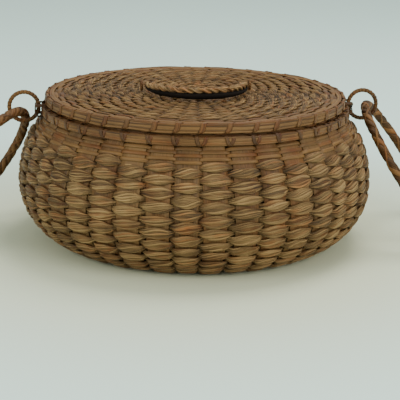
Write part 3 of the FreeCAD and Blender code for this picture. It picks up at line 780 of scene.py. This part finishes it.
def wrapped_ring(centre, radius, wire, wraps, random):
    """An upright ring with one flat strand wound round its core, each turn against the next."""
    plane = ([1.0, 0, 0], UP)
    core, outward, angle = circle_path(centre, *plane, radius, 96)
    strips = [strand_about(core, outward, 0 * angle, 0 * angle, wire * 0.8, wire * 0.8, True, 0.2)]
    path, outward, angle = circle_path(centre, *plane, radius, wraps * 14)
    side = course(path, outward, True)[1]
    turn = wraps * angle
    around = outward * np.cos(turn)[:, None] + side * np.sin(turn)[:, None]
    strips.append({
        "path": path + around * wire * 0.86, "out": around, "thick": wire * 0.16,
        "wide": math.pi * radius / wraps * 0.93, "sides": 6, "square": 2.6, "closed": True,
        "tone": random.uniform(0.3, 0.8),
    })
    return strips


for side, end in ((-1, "left"), (1, "right")):
    low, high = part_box(f"ear_ring_{end}")
    random = np.random.default_rng(60 + side)
    strips = wrapped_ring((low + high) / 2, (high.x - low.x) / 2 - EAR_WIRE, EAR_WIRE, EAR_WRAPS, random)
    strip_piece(f"wrapped_ear_{end}", strips, WRAP, "basket", [f"ear_ring_{end}"])

rim_middle = (RIM_LOW + RIM_HIGH) / 2
turn = full_turn(48)
random = np.random.default_rng(65)
strips = []
for side in (-1, 1):
    for number in range(BINDINGS):
        slant = math.radians(22 + 3 * number) * (1 if number % 2 == 0 else -1)
        climbing = np.array([0, math.cos(slant), math.sin(slant)])
        level_out = np.array([side, 0, 0])
        outer = BINDING_OUTER + BINDING_LAYER * number
        inner = BINDING_INNER - BINDING_LAYER * number * 0.4
        across = (inner + outer) / 2 + (outer - inner) / 2 * squared(turn, 6) * np.cos(turn)
        reach = (BINDING_REACH - 0.0004 * number) * squared(turn, 6) * np.sin(turn)
        path = level_out * across[:, None] + climbing * reach[:, None] + UP * rim_middle
        strips.append({
            "path": path, "out": faced_out(turn, level_out, climbing, 3), "thick": STRAP_HALF_THICK,
            "wide": BINDING_HALF_WIDTH, "sides": 6, "square": 4, "closed": True,
            "tone": random.uniform(0.0, 0.4),
        })
strip_piece("ear_crossed_bindings", strips, WRAP, "basket", ["ear_bindings"])

# ---- Hoop handles --------------------------------------------------------------------------------
# A stiff hoop in each ear: a bent core wrapped with three broad strands of dark grass one way and two
# thin ones back over them. Each hangs out and down to what the basket stands on.
HANDLE_WIRE = 0.0034
HANDLE_CORE = 0.0024
# How often it goes round, how far from the centre line, and its half thickness and half width.
BROAD_WRAP = (14, 0.0022, 0.0008, 0.0016)
THIN_WRAP = (-9, 0.0026, 0.00045, 0.0008)


def plane_of(node):
    """Centre, longest direction and cross direction of a flat ring, and how far its points reach."""
    points = np.array([vertex.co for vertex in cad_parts[node].data.vertices])
    centre = points.mean(axis=0)
    flat = np.linalg.svd(points - centre, full_matrices=False)[2]
    return centre, flat[0], flat[1], np.linalg.norm(points - centre, axis=1).max()


for side, end in ((-1, "left"), (1, "right")):
    centre, first, second, reach = plane_of(f"handle_{end}")
    random = np.random.default_rng(70 + side)
    samples = 420
    path, outward, angle = circle_path(centre, first, second, reach - HANDLE_WIRE, samples)
    across = course(path, outward, True)[1]
    size = 1 + uneven(random, 34, samples, 0.07)
    core = HANDLE_CORE * size
    strips = [strand_about(path, outward, 0 * angle, 0 * angle, core, core, True, 0.3, 12)]
    for strand, (wound, away, half_thick, half_wide) in enumerate([BROAD_WRAP] * 3 + [THIN_WRAP] * 2):
        turn = wound * angle + strand * 2 * math.pi / 3 + uneven(random, 24, samples, 0.5)
        around = outward * np.cos(turn)[:, None] + across * np.sin(turn)[:, None]
        strips.append({
            "path": path + around * away, "out": around, "thick": half_thick * size, "wide": half_wide,
            "sides": 8, "square": 2.3, "closed": True, "tone": random.uniform(0.1, 1.0),
        })
    strip_piece(f"twisted_handle_{end}", strips, WRAP, f"handle_{end}", [f"handle_{end}"])

# ---- Floor, light and camera ---------------------------------------------------------------------
# A wide pale floor, painted a darker, warmer shade close round the basket for its shadow and warm
# bounce, under one soft light overhead and a weaker one from each side.
FLOOR_SIZE = 8
# Painted shade: near the basket the floor takes the darker, warmer near colour, blending to the far colour
# between TINT_FROM and TINT_TO.
PAINTED_WARM_SHADE, FAR_TINT = (0.68, 0.71, 0.51, 1), (0.74, 0.96, 0.91, 1)
TINT_FROM, TINT_TO = 0.08, 0.34
bpy.ops.mesh.primitive_plane_add(size=1, location=(0, 0, 0))
floor = bpy.context.object
floor.name = "pale_floor"
floor.data.transform(Matrix.Diagonal((FLOOR_SIZE, FLOOR_SIZE, 1, 1)))
paper = bpy.data.materials.new("pale_paper")
paper.use_nodes = True
nodes, links = paper.node_tree.nodes, paper.node_tree.links
away = nodes.new("ShaderNodeVectorMath")
away.operation = "LENGTH"
links.new(nodes.new("ShaderNodeTexCoord").outputs["Object"], away.inputs[0])
fade = nodes.new("ShaderNodeMapRange")
fade.interpolation_type = "SMOOTHSTEP"
fade.inputs["From Min"].default_value = TINT_FROM
fade.inputs["From Max"].default_value = TINT_TO
links.new(away.outputs["Value"], fade.inputs["Value"])
# Mixes the painted warm shade near the basket into the plain floor colour.
painted_shade_mix = nodes.new("ShaderNodeMix")
painted_shade_mix.data_type = "RGBA"
painted_shade_mix.inputs["A"].default_value = PAINTED_WARM_SHADE
painted_shade_mix.inputs["B"].default_value = FAR_TINT
links.new(fade.outputs["Result"], painted_shade_mix.inputs["Factor"])
links.new(painted_shade_mix.outputs["Result"], nodes["Principled BSDF"].inputs["Base Color"])
nodes["Principled BSDF"].inputs["Roughness"].default_value = 0.9
floor.data.materials.append(paper)

world = bpy.data.worlds.new("studio")
bpy.context.scene.world = world
world.use_nodes = True
background = world.node_tree.nodes["Background"]
background.inputs["Color"].default_value = (0.80, 0.87, 0.81, 1)
background.inputs["Strength"].default_value = 0.74
LIT_POINT = Vector((0, 0, 0.05))


def soft_light(name, place, size, power, colour):
    lamp = bpy.data.lights.new(name, "AREA")
    lamp.shape = "DISK"
    lamp.size = size
    lamp.energy = power
    lamp.color = colour
    light = bpy.data.objects.new(name, lamp)
    light.location = place
    light.rotation_euler = (LIT_POINT - Vector(place)).to_track_quat("-Z", "Y").to_euler()
    bpy.context.scene.collection.objects.link(light)


soft_light("overhead", (0.35, 0.3, 1.25), 0.7, 10.6, (1.0, 0.98, 0.93))
soft_light("left_fill", (-1.1, -0.7, 0.62), 0.8, 8.4, (1.0, 1.0, 0.95))
soft_light("front_fill", (0.85, -1.1, 0.66), 1.0, 13.9, (1.0, 0.98, 0.92))

CAMERA_TARGET = Vector((0, 0, 0.0435))
CAMERA_DISTANCE = 0.905
CAMERA_AZIMUTH = math.radians(-7)
CAMERA_ELEVATION = math.radians(14.05)
CAMERA_ROLL = math.radians(1.0)
back = Vector((
    math.sin(CAMERA_AZIMUTH) * math.cos(CAMERA_ELEVATION),
    -math.cos(CAMERA_AZIMUTH) * math.cos(CAMERA_ELEVATION),
    math.sin(CAMERA_ELEVATION),
))
camera = bpy.data.objects.new("camera", bpy.data.cameras.new("camera"))
camera.data.lens = 126
camera.data.sensor_width = 36
camera.data.shift_x = 0.0143
camera.data.shift_y = -0.0772
camera.data.clip_start = 0.01
camera.location = CAMERA_TARGET + back * CAMERA_DISTANCE
camera.rotation_euler = (-back).to_track_quat("-Z", "Y").to_euler()
camera.rotation_euler.rotate_axis("Z", CAMERA_ROLL)
bpy.context.scene.collection.objects.link(camera)
bpy.context.scene.camera = camera
